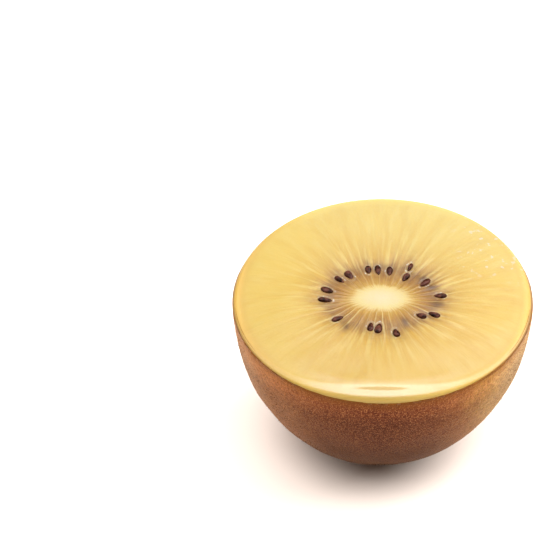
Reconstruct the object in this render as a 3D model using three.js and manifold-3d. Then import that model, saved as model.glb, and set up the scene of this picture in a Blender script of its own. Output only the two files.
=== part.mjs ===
// Half of a golden kiwi fruit, cut across its middle and standing on its stem end.
// Millimetres, +Z up along the fruit's axis. The origin is on the surface that the fruit stands on,
// under the middle of the cut face, and X runs along the wider way of its oval section.

import * as THREE from "three";
import { mergeVertices, toCreasedNormals } from "three/addons/utils/BufferGeometryUtils.js";
import Module from "manifold-3d";

const { degToRad, smoothstep } = THREE.MathUtils;

// Driving sizes of the fruit
const WIDTH = 54; // across the cut, along X
const BREADTH = 50.8; // across the cut, along Y
const EDGE_Z = 33.1; // height of the skin's cut edge
const LEAN = 0.85; // how far the stem end sits to the -X side of the cut face's middle
const REST_RADIUS = 7.0; // of the small flat spot that the fruit stands on

// The skin's cut edge, and the shoulder of flesh that swells above it to the cut face
const SKIN = 0.35;
const SHOULDER_IN = 2.4;
const SHOULDER_UP = 2.4;

// The stem end: a dimple in the flat spot, with the round scar of the stalk raised inside it
const DIMPLE = { radius: 3.8, depth: 1.2, slope: 0.7 };
const SCAR = { radius: 1.8, foot: 2.1, recess: 0.5 };

// The core is a pale oval crown. The ovals round it grow rounder towards the skin, over the blend.
// It lies off the middle of the face, and the ovals come back to the middle over the outer share.
const CORE = { x: -0.3, y: -2.1, halfX: 6.0, halfY: 3.5, crown: 0.35, blend: 4.15, outer: 0.7 };

// Seed chambers lie round the core in a shallow trough, and a thin raised ray parts each two of them.
const CHAMBERS = { count: 36, halfX: 9.7, trough: 0.3, spread: 0.2, outer: 1.25 };
const RAY = { first: degToRad(3), height: 0.12, start: 4.5, full: 6.5, fade: 11, end: 16 };

// Chambers whose seed the knife missed, whose seed lies just under the cut, and that show two seeds
const EMPTY_CHAMBERS = [4, 6, 8, 11, 14, 15, 17, 19, 20, 22, 24, 27, 30, 33, 35];
const SUNK_CHAMBERS = [1, 3, 23, 29, 34];
const PAIRED_CHAMBERS = [5];

// A seed is a flattened drop that points at the core. It stands proud of the face, less so when sunk.
const SEED = { length: 2.3, width: 1.4, height: 1.1, taper: 0.3, proud: 0.45, sunk: 0.1, buried: 0.5 };

// How far seeds stray from the middle of their chamber: round the core, in and out, in aim and in size
const STRAY = { turn: degToRad(10), out: 0.26, pair: 0.2, aim: degToRad(30), size: 0.2 };
const DRAW = { start: 6433879, factor: 48271, modulus: 2147483647, skipped: 3 };

// How finely the solid is faceted
const ROUND_STEPS = 3 * CHAMBERS.count;
const DOME_STEPS = 16;
const SHOULDER_STEPS = 5;
const FACE_RINGS = [19.5, 16.5, 14.4, 12.8, 11.4, 10.3, 9.3, 8.3, 7.3, 6.3, 5, 3.4, 1.8];
const SEED_DETAIL = 1;
const CREASE = degToRad(36);
const NEAR = 1e-3;
const MERGE_WITHIN = 1e-4;

// Colours and finish. A seed's colour reaches out over this share of its length and width.
const COLOURS = { skin: 0x8f5f3c, flesh: 0xf2cf6b, chamber: 0xd6a85c, core: 0xfdeeb8, seed: 0x2d1512 };
const SEED_COLOURED = 0.45;
const ROUGHNESS = 0.45;

// Worked out from the sizes above
const HALF = WIDTH / 2;
const OVAL = BREADTH / WIDTH;
const FACE_Z = EDGE_Z + SHOULDER_UP;
const SHOULDER_FOOT = HALF - SKIN;
const FACE_EDGE = SHOULDER_FOOT - SHOULDER_IN;

const wasm = await Module();
wasm.setup();

// A closed three.js geometry as a manifold-3d solid.
function toSolid(geometry) {
  const bare = geometry.clone();
  bare.deleteAttribute("normal");
  bare.deleteAttribute("uv");
  const merged = mergeVertices(bare, MERGE_WITHIN);
  return new wasm.Manifold(
    new wasm.Mesh({
      numProp: 3,
      vertProperties: merged.attributes.position.array,
      triVerts: new Uint32Array(merged.index.array),
    }),
  );
}

// A manifold-3d solid as a three.js geometry.
function toGeometry(solid) {
  const mesh = solid.getMesh();
  const geometry = new THREE.BufferGeometry();
  geometry.setAttribute("position", new THREE.BufferAttribute(mesh.vertProperties, 3));
  geometry.setIndex(new THREE.BufferAttribute(mesh.triVerts, 1));
  return geometry;
}

// Draws from 0 to 1, the same ones every time.
function makeDraw() {
  let state = DRAW.start;
  const draw = () => {
    state = (state * DRAW.factor) % DRAW.modulus;
    return state / DRAW.modulus;
  };
  for (let i = 0; i < DRAW.skipped; i++) draw();
  return draw;
}

// Breadth over width of the oval on the cut face that has this half width.
function ovalRatio(halfX) {
  const beyondCore = Math.max(0, halfX - CORE.halfX);
  return OVAL - (OVAL - CORE.halfY / CORE.halfX) * Math.exp(-beyondCore / CORE.blend);
}

// Height over the flat of the face: the core's crown, the trough of the chambers, and the rays.
function faceRelief(halfX, angle) {
  const crown = CORE.crown * Math.max(0, 1 - (halfX / CORE.halfX) ** 4);
  const offRing = (halfX / CHAMBERS.halfX - 1) / CHAMBERS.spread;
  const trough = CHAMBERS.trough * Math.exp(-offRing * offRing);
  const strength = smoothstep(halfX, RAY.start, RAY.full) * (1 - smoothstep(halfX, RAY.fade, RAY.end));
  return crown - trough + RAY.height * strength * Math.cos(CHAMBERS.count * (angle - RAY.first));
}

// The point of the cut face on the oval with this half width, at an angle round the core.
function facePoint(halfX, angle) {
  const drawnIn = smoothstep(FACE_EDGE - halfX, 0, FACE_EDGE * CORE.outer);
  return new THREE.Vector3(
    halfX * Math.cos(angle) + CORE.x * drawnIn,
    halfX * ovalRatio(halfX) * Math.sin(angle) + CORE.y * drawnIn,
    FACE_Z + faceRelief(halfX, angle),
  );
}

// The outline from the stem scar up the skin and over the face, as radius along X and height.
function outline() {
  const points = [
    [0, SCAR.recess],
    [SCAR.radius, SCAR.recess],
    [SCAR.foot, DIMPLE.depth],
    [(SCAR.foot + DIMPLE.radius) / 2, DIMPLE.depth * DIMPLE.slope],
    [DIMPLE.radius, 0],
  ];
  // The skin is part of an ellipse that would reach below the flat spot.
  const restAngle = Math.acos(REST_RADIUS / HALF);
  const depth = EDGE_Z / Math.sin(restAngle);
  for (let i = 0; i <= DOME_STEPS; i++) {
    const angle = restAngle * (1 - i / DOME_STEPS);
    points.push([HALF * Math.cos(angle), EDGE_Z - depth * Math.sin(angle)]);
  }
  // The flesh starts inside the skin's cut edge and rounds over to the flat of the face.
  for (let i = 0; i <= SHOULDER_STEPS; i++) {
    const angle = (Math.PI / 2) * (i / SHOULDER_STEPS);
    points.push([
      SHOULDER_FOOT - SHOULDER_IN * (1 - Math.cos(angle)),
      EDGE_Z + SHOULDER_UP * Math.sin(angle),
    ]);
  }
  for (const radius of FACE_RINGS) points.push([radius, FACE_Z]);
  points.push([0, FACE_Z]);
  return points.map(([radius, height]) => new THREE.Vector2(radius, height));
}

// The whole half fruit without its seeds. One column of its points follows each ray.
function makeBody() {
  const body = new THREE.LatheGeometry(outline(), ROUND_STEPS, Math.PI / 2 + RAY.first);
  body.rotateX(Math.PI / 2);
  const position = body.attributes.position;
  const point = new THREE.Vector3();
  for (let i = 0; i < position.count; i++) {
    point.fromBufferAttribute(position, i);
    const radius = Math.hypot(point.x, point.y);
    if (point.z > FACE_Z - NEAR && radius < FACE_EDGE - NEAR) {
      point.copy(facePoint(radius, Math.atan2(point.y, point.x)));
    } else {
      point.y *= OVAL;
      point.x -= LEAN * Math.max(0, 1 - point.z / EDGE_Z) ** 2;
    }
    position.setXYZ(i, point.x, point.y, point.z);
  }
  return body;
}

// Where each seed lies, the way it points and its size.
function placeSeeds() {
  const draw = makeDraw();
  const stray = (range) => range * (draw() - 0.5);
  const seeds = [];
  for (let chamber = 0; chamber < CHAMBERS.count; chamber++) {
    if (EMPTY_CHAMBERS.includes(chamber)) continue;
    const middle = RAY.first + (2 * Math.PI * (chamber + 0.5)) / CHAMBERS.count;
    const proud = SUNK_CHAMBERS.includes(chamber) ? SEED.sunk : SEED.proud;
    for (const shift of PAIRED_CHAMBERS.includes(chamber) ? [-0.5, 0.5] : [0]) {
      const angle = middle + stray(STRAY.turn);
      const halfX = CHAMBERS.halfX * (1 + shift * STRAY.pair + stray(STRAY.out));
      const place = facePoint(halfX, angle);
      const further = facePoint(halfX + 1, angle);
      const aim = Math.atan2(further.y - place.y, further.x - place.x) + stray(STRAY.aim);
      const size = 1 + stray(STRAY.size);
      place.z += proud - SEED.buried * SEED.height;
      seeds.push({ place, aim, size });
    }
  }
  return seeds;
}

// One seed: a ball drawn out along X, thinner towards the core, laid at its place.
function makeSeed({ place, aim, size }) {
  const drop = new THREE.IcosahedronGeometry(1 / 2, SEED_DETAIL);
  const position = drop.attributes.position;
  const girth = (x) => 1 + 2 * SEED.taper * x;
  for (let i = 0; i < position.count; i++) {
    const x = position.getX(i);
    position.setXYZ(
      i,
      x * SEED.length * size,
      position.getY(i) * girth(x) * SEED.width * size,
      position.getZ(i) * girth(x) * SEED.height,
    );
  }
  return drop.rotateZ(aim).translate(place.x, place.y, place.z);
}

// Distance from the core's middle, as a share of an oval with the given half axes.
function ovalShare(point, halfX, halfY) {
  return Math.hypot((point.x - CORE.x) / halfX, (point.y - CORE.y) / halfY);
}

// True if a point of the face is on this seed.
function isOn({ place, aim, size }, point) {
  const across = new THREE.Vector2(point.x - place.x, point.y - place.y);
  across.rotateAround(new THREE.Vector2(), -aim);
  return Math.hypot(across.x / SEED.length, across.y / SEED.width) < size * SEED_COLOURED;
}

// Which colour a point of the surface has.
function colourName(point, seeds) {
  if (point.z < EDGE_Z + NEAR) return "skin";
  if (seeds.some((seed) => isOn(seed, point))) return "seed";
  if (ovalShare(point, CORE.halfX, CORE.halfY) < 1) return "core";
  const halfX = CHAMBERS.halfX * CHAMBERS.outer;
  return ovalShare(point, halfX, halfX * ovalRatio(halfX)) < 1 ? "chamber" : "flesh";
}

// Gives each triangle the colour of its middle.
function paint(geometry, seeds) {
  const position = geometry.attributes.position;
  const colours = new Float32Array(position.count * 3);
  const corner = new THREE.Vector3();
  for (let i = 0; i < position.count; i += 3) {
    const middle = new THREE.Vector3();
    for (let k = 0; k < 3; k++) {
      middle.addScaledVector(corner.fromBufferAttribute(position, i + k), 1 / 3);
    }
    const colour = new THREE.Color(COLOURS[colourName(middle, seeds)]);
    for (let k = 0; k < 3; k++) colour.toArray(colours, (i + k) * 3);
  }
  geometry.setAttribute("color", new THREE.BufferAttribute(colours, 3));
  return geometry;
}

// The seeds grew in the fruit, so each is joined to it in one solid.
function makeKiwiHalf() {
  const seeds = placeSeeds();
  const solid = seeds.reduce((joined, seed) => joined.add(toSolid(makeSeed(seed))), toSolid(makeBody()));
  const geometry = paint(toCreasedNormals(toGeometry(solid).toNonIndexed(), CREASE), seeds);
  const material = new THREE.MeshStandardMaterial({
    vertexColors: true,
    roughness: ROUGHNESS,
    metalness: 0,
  });
  const mesh = new THREE.Mesh(geometry, material);
  mesh.name = "kiwi_half";
  return mesh;
}

const kiwi = new THREE.Group();
kiwi.add(makeKiwiHalf());

export default kiwi;
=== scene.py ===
import math

import bpy
import numpy as np
from mathutils import Euler, Matrix, Vector


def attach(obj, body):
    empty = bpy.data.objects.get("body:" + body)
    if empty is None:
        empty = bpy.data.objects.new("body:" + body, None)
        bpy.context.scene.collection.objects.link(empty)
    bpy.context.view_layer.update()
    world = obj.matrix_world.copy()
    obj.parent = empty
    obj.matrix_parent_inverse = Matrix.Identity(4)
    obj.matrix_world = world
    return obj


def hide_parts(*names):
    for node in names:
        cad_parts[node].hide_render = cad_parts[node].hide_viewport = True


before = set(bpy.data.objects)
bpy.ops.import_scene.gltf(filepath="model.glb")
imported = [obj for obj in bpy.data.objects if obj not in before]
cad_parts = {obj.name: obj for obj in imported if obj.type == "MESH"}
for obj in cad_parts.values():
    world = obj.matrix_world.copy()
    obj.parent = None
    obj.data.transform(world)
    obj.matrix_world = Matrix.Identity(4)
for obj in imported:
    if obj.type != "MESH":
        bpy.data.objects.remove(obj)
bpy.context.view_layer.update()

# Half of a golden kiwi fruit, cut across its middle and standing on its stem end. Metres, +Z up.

MM = 0.001

# Sizes of the fruit, as in the part's source
WIDTH = 54 * MM
BREADTH = 50.8 * MM
EDGE_Z = 33.1 * MM
LEAN = 0.85 * MM
REST_RADIUS = 7.0 * MM
SKIN = 0.35 * MM
SHOULDER_IN = 2.4 * MM
SHOULDER_UP = 2.4 * MM
DIMPLE_RADIUS = 3.8 * MM
DIMPLE_DEPTH = 1.2 * MM
SCAR_RADIUS = 1.8 * MM

# The core is off the middle of the face. The ovals round it grow rounder over the blend, and come
# back to the middle over the outer share of the face.
CORE_X = -0.3 * MM
CORE_Y = -2.1 * MM
CORE_HALF_X = 6.0 * MM
CORE_HALF_Y = 3.5 * MM
CORE_BLEND = 4.15 * MM
CORE_OUTER = 0.7

# Seed chambers and the rays between them. The knife missed the seed of some chambers, some hold one
# just under the cut, and one shows two.
CHAMBERS = 36
CHAMBER_HALF_X = 9.7 * MM
TROUGH_SPREAD = 0.2
RAY_FIRST = math.radians(3)
RAY_START = 4.5 * MM
RAY_FULL = 6.5 * MM
RAY_FADE = 11 * MM
RAY_END = 16 * MM
EMPTY_CHAMBERS = {4, 6, 8, 11, 14, 15, 17, 19, 20, 22, 24, 27, 30, 33, 35}
SUNK_CHAMBERS = {1, 3, 23, 29, 34}
PAIRED_CHAMBERS = {5}

# Seeds, and how far they stray from the middle of their chamber
SEED_LENGTH = 2.3 * MM
SEED_WIDTH = 1.4 * MM
SEED_HEIGHT = 1.1 * MM
SEED_TAPER = 0.3
SEED_PROUD = 0.45 * MM
SEED_SUNK_PROUD = 0.1 * MM
SEED_BURIED = 0.5
STRAY_TURN = math.radians(10)
STRAY_OUT = 0.26
STRAY_PAIR = 0.2
STRAY_AIM = math.radians(30)
STRAY_SIZE = 0.2
DRAW_START = 6433879
DRAW_FACTOR = 48271
DRAW_MODULUS = 2147483647
DRAW_SKIPPED = 3

# Worked out from the sizes above
HALF = WIDTH / 2
OVAL = BREADTH / WIDTH
FACE_Z = EDGE_Z + SHOULDER_UP
FACE_EDGE = HALF - SKIN - SHOULDER_IN
REST_ANGLE = math.acos(REST_RADIUS / HALF)
DOME_DEPTH = EDGE_Z / math.sin(REST_ANGLE)

# How finely the pieces are meshed
FACE_COLUMNS = 600
SKIN_COLUMNS = 440
CORE_STEP = 0.5 * MM
RING_STEP = 0.15 * MM
FLESH_STEP = 0.45 * MM
RING_FROM = 5 * MM
RING_TO = 13 * MM
SHOULDER_STEPS = 9
SKIN_STEPS = 110
INSIDE_STEPS = 16

# Relief of the cut face, shallower than on the solid, since colour shows its parts here
CORE_CROWN = 0.1 * MM
TROUGH = 0.1 * MM
RAY_HEIGHT = 0.02 * MM

# The shoulder between the cut face and the skin: rounded, sloping, rounded again. It is wide and
# high at the front. Elsewhere the face falls a little towards it. The skin thins out to its cut
# edge, a little below the edge of the solid.
SHOULDER_WIDE = 3.0 * MM
SHOULDER_NARROW = 1.0 * MM
SHOULDER_FRONT = math.radians(31)
WET_FRONT = math.radians(35)
FALL_AT_FRONT = 0.65 * MM
FALL_AT_SIDES = 2.3 * MM
FALL_AT_BACK = 1.1 * MM
FALL_FROM = 13 * MM
FALL_CURVE = 1.5
TOWARDS_BACK = (-0.2, 0.8)
SHOULDER_START = math.radians(8)
SHOULDER_SLOPE = math.radians(35)
SHOULDER_ROUND_ABOVE = 2.85 * MM
SHOULDER_ROUND_BELOW = 1.9 * MM
SHOULDER_BEVEL = 0.7 * MM
CUT_SKIN = 0.12 * MM
CUT_DROP = 0.4 * MM

# Where the flesh meets the skin's cut edge, and how low it reaches inside the skin
FLESH_FOOT = HALF - CUT_SKIN
FLESH_FLOOR = DIMPLE_DEPTH + SKIN

# How far the skin's olive edge shows over the shoulder at the back
SKIN_SHOWS_OVER = 1.1 * MM

# The skin's thickness below its cut edge, and how the edge is tucked into the flesh and raised
SKIN_INSIDE = 1.6 * SKIN
EDGE_TUCK = 0.06 * MM
EDGE_RISE = 0.1 * MM

# Where the front of the shoulder is wet: from dry to wet near the skin, and dry again further in
WET_FROM_SKIN = (0.4 * MM, 1.5 * MM)
DRY_FROM_SKIN = (3 * MM, 6 * MM)

# Rings of the dimple by radius, and the scar's profile by radius and height, both in millimetres.
# The scar's first two rings are hidden in the fruit.
DIMPLE_RINGS = (0.5, 1.0, 1.5, 1.9, 2.3, 2.8, 3.2, 3.5, 3.8, 4.3, 5.2, 6.2)
SCAR_PROFILE = (
    (1.2, 1.6), (2.15, 1.6), (2.15, 1.2), (2.0, 0.8), (1.92, 0.62), (1.84, 0.54), (1.72, 0.5),
    (1.5, 0.53), (1.25, 0.56), (1.0, 0.55), (0.75, 0.6), (0.5, 0.66), (0.25, 0.7),
)
SCAR_MIDDLE = 0.72 * MM
SCAR_COLUMNS = 96

# Uneven relief: how many waves, their shortest and longest length, and their seed. The lengths of the
# streaks in the flesh are on a circle of radius 1.
STREAK_WAVES = (40, 0.06, 0.25, 3)
STREAK_HEIGHT = 0.012 * MM
STREAK_ALONG = 0.5
STREAKS_START = (4 * MM, 8 * MM)
SWELL_WAVES = (24, 5 * MM, 14 * MM, 5)
SWELL_HEIGHT = 0.04 * MM
CALM_BY_SHOULDER = 3 * MM
LUMP_WAVES = (30, 6 * MM, 20 * MM, 7)
LUMP_HEIGHT = 0.07 * MM
LUMPS_BELOW_EDGE = 2 * MM
GRAIN_WAVES = (60, 1.0 * MM, 2.4 * MM, 9)
GRAIN_HEIGHT = 0.01 * MM
RELIEF_OFF_FLOOR = (0.1 * MM, 3 * MM)
EDGE_WAVES = (20, 1.5 * MM, 8 * MM, 13)
EDGE_WAVE_HEIGHT = 0.04 * MM
PITTED_WAVES = (40, 0.25 * MM, 0.9 * MM, 17)
PITTED_DEPTH = 0.035 * MM
RAGGED_WAVES = (20, 0.4 * MM, 1.5 * MM, 19)
RAGGED_SHARE = 0.03

# What a seed does to the flesh round it, with reaches in outlines of the seed: its bed or, under the
# surface, its swelling, its uneven pale rim, partly membrane and partly painted highlight, the haze round
# it, and its shadow under the surface
BED_DEPTH = 0.12 * MM
BED_REACH = 1.1
SWELLING_HEIGHT = 0.08 * MM
SWELLING_REACH = 0.9
RIM_AT = 1.22
RIM_REACH = 0.16
RIM_HEIGHT = 0.03 * MM
RIM_UNEVEN = 0.45
RIM_SEED = 11
HAZE_REACH = 2.2
SUNK_HAZE = 0.5
SUNK_HAZE_REACH = 1.7
GHOST_REACH = 0.85

# Smallest and largest length and girth of the seeds, against those that their size gives, and tilts
SEED_REACH = (0.95, 1.2)
SEED_GIRTH = (0.66, 1.0)
SEED_ROLL = 0.6
SEED_PITCH = 0.25
SEED_LOOKS_SEED = 23

# The form of a seed: its rings, its sides, how much its blunt end narrows, and the ripples round it
SEED_RINGS = 11
SEED_SIDES = 18
SEED_BLUNT = 0.12
SEED_RIPPLES = 5
SEED_RIPPLE = 0.02

# Short fuzz on the skin: its hairs, how far they tilt and spin and how their sizes differ, and the
# surface a little under the skin that they grow from
FUZZ_LENGTH = 0.3 * MM
FUZZ_WIDTH = 0.05 * MM
FUZZ_PER_SQUARE_METRE = 2.2e6
FUZZ_CLEAR_OF_FLOOR = 1.2 * MM
FUZZ_CLEAR_OF_CUT = 1.2 * MM
FUZZ_TILT = 1.1
FUZZ_SPIN = 6.28
FUZZ_SIZES = (0.4, 1.1)
FUZZ_SEED = 4
FUZZ_ROOTS = 0.2 * SKIN
FUZZ_GROUND_STEPS = 40
FUZZ_GROUND_COLUMNS = 120

# The photograph's view: where the middle of the skin's cut edge shows in its frame, and how large.
# The sensor's width is in millimetres.
FRAME_PIXELS = 540
SEEN_X = 382.5
SEEN_Y = 299.3
PIXELS_PER_METRE = 5568
CAMERA_DISTANCE = 0.8
CAMERA_ELEVATION = math.radians(45.65)
CAMERA_ROLL = math.radians(0.33)
SENSOR = 36
NEAR_CLIP = 0.05

# How bright a white surface shows on top of the fruit and on its sides
LIGHT_LEVEL = 3.78
SIDE_LEVEL = 2.9

# The studio: a dim warm room, and the light of the box overhead, of its front, and of the soft lights
# on the right and the left
WORLD_COLOUR = (0.15, 0.08, 0.045, 1.0)
BOX_RADIANCE = 8.4
FRONT_RADIANCE = 1.4
RIGHT_RADIANCE = 11.0
LEFT_RADIANCE = 3.6

# Where they are, by direction from the fruit. Each range runs from no light to full light.
BOX_MIDDLE_X = 0.04
BOX_SIDES = (0.64, 0.48)
BOX_HEIGHT = (0.74, 0.93)
BOX_DARK_RADIUS = 0.21
BOX_DARK_EDGE = (0.8, 1.1, 0.12, 1.0)
FRONT_DEPTH = (-0.3, -0.5)
FRONT_SIDES = (0.85, 0.5)
FRONT_HEIGHT = (0.6, 0.85)
RIGHT_LIGHT = (0.72, 0.2, 0.66)
LEFT_LIGHT = (-0.7, 0.1, 0.7)
GLOW_EDGE = (0.88, 0.96)

# The pale floor
FLOOR_COLOUR = (0.68, 0.6, 0.54, 1)
FLOOR_REACH = 3.0


def smoothstep(value, low, high):
    """0 below low, 1 above high and smooth in between, for numbers and arrays."""
    share = np.clip((np.asarray(value) - low) / (high - low), 0, 1)
    return share * share * (3 - 2 * share)


def bell(value, middle, width):
    """1 at the middle, falling off on both sides."""
    return np.exp(-(((np.asarray(value) - middle) / width) ** 2))


# The form of the cut face


def oval_ratio(half_x):
    """Breadth over width of the oval of the cut face that has this half width."""
    beyond = np.maximum(0, half_x - CORE_HALF_X)
    return OVAL - (OVAL - CORE_HALF_Y / CORE_HALF_X) * np.exp(-beyond / CORE_BLEND)


def face_relief(half_x, angle):
    """Height over the flat of the face: the core's crown, the trough of the chambers, and the rays."""
    crown = CORE_CROWN * np.maximum(0, 1 - (half_x / CORE_HALF_X) ** 4)
    trough = TROUGH * bell(half_x / CHAMBER_HALF_X, 1, TROUGH_SPREAD)
    strength = smoothstep(half_x, RAY_START, RAY_FULL) * (1 - smoothstep(half_x, RAY_FADE, RAY_END))
    return crown - trough + RAY_HEIGHT * strength * np.cos(CHAMBERS * (angle - RAY_FIRST))


def face_point(half_x, angle):
    """The point of the cut face on the oval with this half width, at an angle round the core."""
    drawn_in = smoothstep(FACE_EDGE - half_x, 0, FACE_EDGE * CORE_OUTER)
    x = half_x * np.cos(angle) + CORE_X * drawn_in
    y = half_x * oval_ratio(half_x) * np.sin(angle) + CORE_Y * drawn_in
    return x, y, FACE_Z + face_relief(half_x, angle)


class Draw:
    """Draws from 0 to 1, the same ones as in the part's source."""

    def __init__(self):
        self.state = DRAW_START
        for _ in range(DRAW_SKIPPED):
            self.next()

    def next(self):
        self.state = self.state * DRAW_FACTOR % DRAW_MODULUS
        return self.state / DRAW_MODULUS

    def stray(self, reach):
        return reach * (self.next() - 0.5)


def place_seeds():
    """Each seed's middle, the way it points, its size, and whether it lies under the surface."""
    draw = Draw()
    seeds = []
    for chamber in range(CHAMBERS):
        if chamber in EMPTY_CHAMBERS:
            continue
        middle = RAY_FIRST + 2 * math.pi * (chamber + 0.5) / CHAMBERS
        sunk = chamber in SUNK_CHAMBERS
        for shift in (-0.5, 0.5) if chamber in PAIRED_CHAMBERS else (0,):
            angle = middle + draw.stray(STRAY_TURN)
            half_x = CHAMBER_HALF_X * (1 + shift * STRAY_PAIR + draw.stray(STRAY_OUT))
            x, y, z = face_point(half_x, angle)
            further_x, further_y, _ = face_point(half_x + MM, angle)
            aim = math.atan2(further_y - y, further_x - x) + draw.stray(STRAY_AIM)
            size = 1 + draw.stray(STRAY_SIZE)
            z += (SEED_SUNK_PROUD if sunk else SEED_PROUD) - SEED_BURIED * SEED_HEIGHT
            seeds.append({"at": (x, y, z), "aim": aim, "size": size, "sunk": sunk})
    return seeds


# Meshes


def link_mesh(mesh, name):
    """An object for the mesh, at the origin, in the scene."""
    made = bpy.data.objects.new(name, mesh)
    bpy.context.scene.collection.objects.link(made)
    return made


def close_rows(name, rows, first_pole, last_pole):
    """A closed, smooth mesh over rows of points that run from one pole to the other."""
    count, columns, _ = rows.shape
    points = np.concatenate([rows.reshape(-1, 3), [first_pole, last_pole]])
    here = np.arange(columns)
    after = (here + 1) % columns
    faces = []
    for row in range(count - 1):
        low, high = row * columns, (row + 1) * columns
        faces += np.stack([low + here, high + here, high + after, low + after], 1).tolist()
    first, last = count * columns, count * columns + 1
    end = (count - 1) * columns
    faces += np.stack([np.full(columns, first), here, after], 1).tolist()
    faces += np.stack([end + here, np.full(columns, last), end + after], 1).tolist()
    mesh = bpy.data.meshes.new(name)
    mesh.from_pydata(points.tolist(), [], faces)
    mesh.shade_smooth()
    return mesh


def give_values(mesh, name, values):
    """A number for each point of the mesh, which its material reads by name."""
    attribute = mesh.attributes.new(name, "FLOAT", "POINT")
    attribute.data.foreach_set("value", np.ascontiguousarray(values, dtype=np.float32))


def give_vectors(mesh, name, vectors):
    """A vector for each point of the mesh, which its material reads by name."""
    attribute = mesh.attributes.new(name, "FLOAT_VECTOR", "POINT")
    attribute.data.foreach_set("vector", np.ascontiguousarray(vectors, dtype=np.float32).ravel())


def waves(points, count, shortest, longest, seed):
    """Smooth random height at each point, about -1 to 1: plane waves with lengths between the two."""
    random = np.random.default_rng(seed)
    total = np.zeros(points.shape[:-1])
    for _ in range(count):
        direction = random.normal(size=3)
        direction /= np.linalg.norm(direction)
        length = shortest * (longest / shortest) ** random.random()
        phase = random.random() * 2 * math.pi
        total += np.sin(points @ direction * (2 * math.pi / length) + phase)
    return total / math.sqrt(count)


def dome_rows(inset, steps):
    """Radius and height of rows up the outside, from the flat spot to the cut edge, drawn in by inset."""
    angle = REST_ANGLE * (1 - np.arange(steps + 1) / steps)
    return (HALF - inset) * np.cos(angle), EDGE_Z - (DOME_DEPTH - inset) * np.sin(angle)


def shoulder_profile():
    """How far in and how far up each row of the shoulder is, as shares from the skin to the face."""
    above = np.linspace(SHOULDER_START, SHOULDER_SLOPE, SHOULDER_STEPS)
    below = np.linspace(SHOULDER_SLOPE, math.pi / 2, SHOULDER_STEPS)
    run_above = SHOULDER_ROUND_ABOVE * (np.sin(above) - math.sin(SHOULDER_START))
    drop_above = SHOULDER_ROUND_ABOVE * (math.cos(SHOULDER_START) - np.cos(above))
    run_below = SHOULDER_ROUND_BELOW * (np.sin(below) - math.sin(SHOULDER_SLOPE))
    drop_below = SHOULDER_ROUND_BELOW * (math.cos(SHOULDER_SLOPE) - np.cos(below))
    run = np.append(run_above, run_above[-1] + SHOULDER_BEVEL * math.cos(SHOULDER_SLOPE) + run_below)
    drop = np.append(drop_above, drop_above[-1] + SHOULDER_BEVEL * math.sin(SHOULDER_SLOPE) + drop_below)
    return 1 - run / run[-1], 1 - drop / drop[-1]


def at_front(angle, reach=SHOULDER_FRONT):
    """1 at the front of the fruit, three quarters of a turn round, and falling to 0 on both sides."""
    return bell((angle + math.pi / 2 + math.pi) % (2 * math.pi) - math.pi, 0, reach)


def face_fall(angle):
    """How far the cut face falls from its flat middle to the shoulder, at an angle round the fruit."""
    behind = smoothstep(np.sin(angle), *TOWARDS_BACK)
    fall = FALL_AT_SIDES + (FALL_AT_BACK - FALL_AT_SIDES) * behind
    return fall + (FALL_AT_FRONT - fall) * at_front(angle)


def shoulder_width(angle):
    """How wide the shoulder is at an angle round the fruit."""
    return SHOULDER_NARROW + (SHOULDER_WIDE - SHOULDER_NARROW) * at_front(angle)


def lathe_rows(radius, height, angle):
    """Points at these angles round the oval, leaning fruit for rows of radius and height, with one
    number for a row or one for each of its points."""
    if radius.ndim == 1:
        radius, height = radius[:, None], np.repeat(height[:, None], len(angle), 1)
    lean = LEAN * np.maximum(0, 1 - height / EDGE_Z) ** 2
    return np.stack([radius * np.cos(angle) - lean, radius * OVAL * np.sin(angle), height], -1)


def turns(columns, first=0.0):
    """Evenly spaced angles of a full turn."""
    return first + np.arange(columns) * 2 * math.pi / columns


def seed_reach(points, seed):
    """How far points of the face are from a seed's middle, in seed outlines, and on which side of it."""
    dx = points[..., 0] - seed["at"][0]
    dy = points[..., 1] - seed["at"][1]
    along = dx * math.cos(seed["aim"]) + dy * math.sin(seed["aim"])
    across = dy * math.cos(seed["aim"]) - dx * math.sin(seed["aim"])
    along *= 2 / (SEED_LENGTH * seed["size"])
    across *= 2 / (SEED_WIDTH * seed["size"])
    return np.hypot(along, across), np.arctan2(across, along)


def mark_seeds(face, seeds):
    """Sinks the beds of the seeds into the face. Gives their pale rims, partly membrane and partly painted
    highlight, the haze round them and the shadows of those that lie under the surface."""
    rim = np.zeros(face.shape[:-1])
    haze = np.zeros(face.shape[:-1])
    ghost = np.zeros(face.shape[:-1])
    random = np.random.default_rng(RIM_SEED)
    for seed in seeds:
        reach, side = seed_reach(face, seed)
        uneven = 1 - RIM_UNEVEN + RIM_UNEVEN * np.sin(side + random.random() * 2 * math.pi)
        if seed["sunk"]:
            ghost = np.maximum(ghost, bell(reach, 0, GHOST_REACH))
            haze += SUNK_HAZE * bell(reach, 0, SUNK_HAZE_REACH)
            face[..., 2] += SWELLING_HEIGHT * bell(reach, 0, SWELLING_REACH)
        else:
            rim = np.maximum(rim, uneven * bell(reach, RIM_AT, RIM_REACH))
            haze += bell(reach, 0, HAZE_REACH)
            face[..., 2] -= BED_DEPTH * bell(reach, 0, BED_REACH)
    face[..., 2] += RIM_HEIGHT * rim
    return {"rim": rim, "haze": 1 - np.exp(-haze), "ghost": ghost}


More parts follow.
